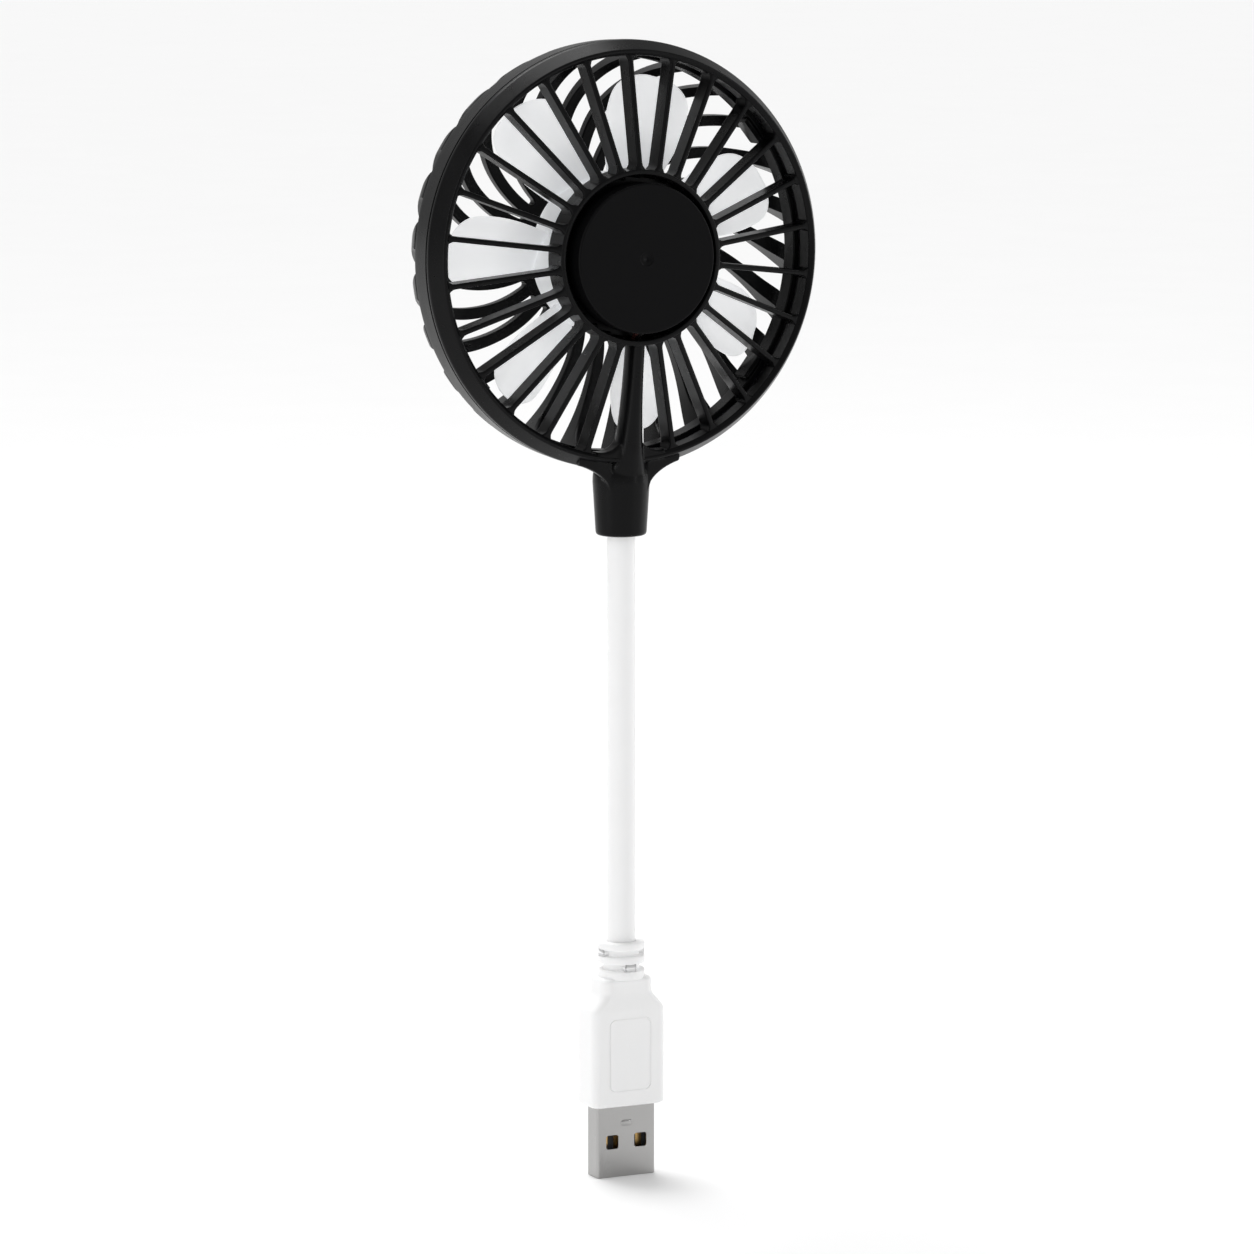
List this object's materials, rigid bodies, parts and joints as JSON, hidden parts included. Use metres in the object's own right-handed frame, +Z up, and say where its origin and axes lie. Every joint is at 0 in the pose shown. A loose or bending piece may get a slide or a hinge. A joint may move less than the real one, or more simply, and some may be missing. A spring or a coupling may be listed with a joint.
{
  "type": "usb arm fan",
  "caption": "Small caged axial fan on a bendable arm that stands in a USB-A port; straight ribs and solid hub cap on one side, swirled ribs on the other.",
  "frame": {"origin": "centre of the plug grip's lower face, which rests on the port", "axes": "+Z up the straight arm to the head, -Y the way the hub cap faces, +X to the right seen from the hub cap"},
  "size_m": [0.0788, 0.0299, 0.2117],
  "materials": {
    "plug_steel": "satin nickel plate",
    "carrier_plastic": "matte",
    "contact_gold": "gold flash",
    "inner_plastic": "matte",
    "grip_plastic": "soft gloss, flexible",
    "arm_jacket": "soft gloss, flexible",
    "steel_wire": "annealed",
    "conductor_skin": "matte",
    "guard_plastic": "satin black",
    "cap_plastic": "matte black",
    "impeller_plastic": "milky, lets light through",
    "motor_steel": "zinc plate",
    "bronze": "sintered",
    "magnet": "sintered ferrite",
    "copper": "enamelled copper",
    "lead_red": "matte",
    "lead_black": "matte"
  },
  "bodies": {
    "plug": {"plug_shell": "plug_steel", "contact_carrier": "carrier_plastic", "plug_contacts": "contact_gold", "inner_mould": "inner_plastic", "plug_grip": "grip_plastic", "jacket_base": "arm_jacket", "core_wire_base": "steel_wire", "conductors_base": "conductor_skin"},
    "arm_1": {"jacket_1": "arm_jacket", "core_wire_1": "steel_wire", "conductors_1": "conductor_skin"},
    "arm_2": {"jacket_2": "arm_jacket", "core_wire_2": "steel_wire", "conductors_2": "conductor_skin"},
    "arm_3": {"jacket_3": "arm_jacket", "core_wire_3": "steel_wire", "conductors_3": "conductor_skin"},
    "arm_4": {"jacket_4": "arm_jacket", "core_wire_4": "steel_wire", "conductors_4": "conductor_skin"},
    "arm_5": {"jacket_5": "arm_jacket", "core_wire_5": "steel_wire", "conductors_5": "conductor_skin"},
    "arm_6": {"jacket_6": "arm_jacket", "core_wire_6": "steel_wire", "conductors_6": "conductor_skin"},
    "arm_7": {"jacket_7": "arm_jacket", "core_wire_7": "steel_wire", "conductors_7": "conductor_skin"},
    "arm_8": {"jacket_8": "arm_jacket", "core_wire_8": "steel_wire", "conductors_8": "conductor_skin"},
    "arm_9": {"jacket_9": "arm_jacket", "core_wire_9": "steel_wire", "conductors_9": "conductor_skin"},
    "head": {"motor_guard": "guard_plastic", "hub_cap": "cap_plastic", "swirl_guard": "guard_plastic", "motor_can": "motor_steel", "motor_end_cap": "carrier_plastic", "motor_terminals": "contact_gold", "front_bushing": "bronze", "rear_bushing": "bronze", "motor_magnets": "magnet", "motor_brushes": "bronze", "lead_red": "lead_red", "lead_black": "lead_black", "jacket_end": "arm_jacket", "core_wire_end": "steel_wire", "conductors_end": "conductor_skin"},
    "rotor": {"impeller": "impeller_plastic", "motor_shaft": "motor_steel", "armature_core": "motor_steel", "armature_windings": "copper", "commutator": "copper"}
  },
  "joints": [
    {"name": "bend_forward_1", "type": "hinge", "parent": "plug", "child": "arm_1", "pos_m": [0, 0, 0.0347], "axis": [1, 0, 0], "range_deg": [-18, 18]},
    {"name": "bend_side_1", "type": "hinge", "parent": "arm_1", "child": "arm_2", "pos_m": [0, 0, 0.04231], "axis": [0, 1, 0], "range_deg": [-18, 18]},
    {"name": "bend_forward_2", "type": "hinge", "parent": "arm_2", "child": "arm_3", "pos_m": [0, 0, 0.04992], "axis": [1, 0, 0], "range_deg": [-18, 18]},
    {"name": "bend_side_2", "type": "hinge", "parent": "arm_3", "child": "arm_4", "pos_m": [0, 0, 0.05754], "axis": [0, 1, 0], "range_deg": [-18, 18]},
    {"name": "bend_forward_3", "type": "hinge", "parent": "arm_4", "child": "arm_5", "pos_m": [0, 0, 0.06514], "axis": [1, 0, 0], "range_deg": [-18, 18]},
    {"name": "bend_side_3", "type": "hinge", "parent": "arm_5", "child": "arm_6", "pos_m": [0, 0, 0.07276], "axis": [0, 1, 0], "range_deg": [-18, 18]},
    {"name": "bend_forward_4", "type": "hinge", "parent": "arm_6", "child": "arm_7", "pos_m": [0, 0, 0.08037], "axis": [1, 0, 0], "range_deg": [-18, 18]},
    {"name": "bend_side_4", "type": "hinge", "parent": "arm_7", "child": "arm_8", "pos_m": [0, 0, 0.08797], "axis": [0, 1, 0], "range_deg": [-18, 18]},
    {"name": "bend_forward_5", "type": "hinge", "parent": "arm_8", "child": "arm_9", "pos_m": [0, 0, 0.09559], "axis": [1, 0, 0], "range_deg": [-18, 18]},
    {"name": "bend_side_5", "type": "hinge", "parent": "arm_9", "child": "head", "pos_m": [0, 0, 0.10319], "axis": [0, 1, 0], "range_deg": [-18, 18]},
    {"name": "fan_spin", "type": "hinge", "parent": "head", "child": "rotor", "pos_m": [0, 0, 0.1587], "axis": [0, 1, 0], "continuous": true}
  ],
  "couplings": [
    {"joint": "bend_forward_2", "follows": "bend_forward_1", "ratio": 1},
    {"joint": "bend_side_2", "follows": "bend_side_1", "ratio": 1},
    {"joint": "bend_forward_3", "follows": "bend_forward_1", "ratio": 1},
    {"joint": "bend_side_3", "follows": "bend_side_1", "ratio": 1},
    {"joint": "bend_forward_4", "follows": "bend_forward_1", "ratio": 1},
    {"joint": "bend_side_4", "follows": "bend_side_1", "ratio": 1},
    {"joint": "bend_forward_5", "follows": "bend_forward_1", "ratio": 1},
    {"joint": "bend_side_5", "follows": "bend_side_1", "ratio": 1}
  ]
}
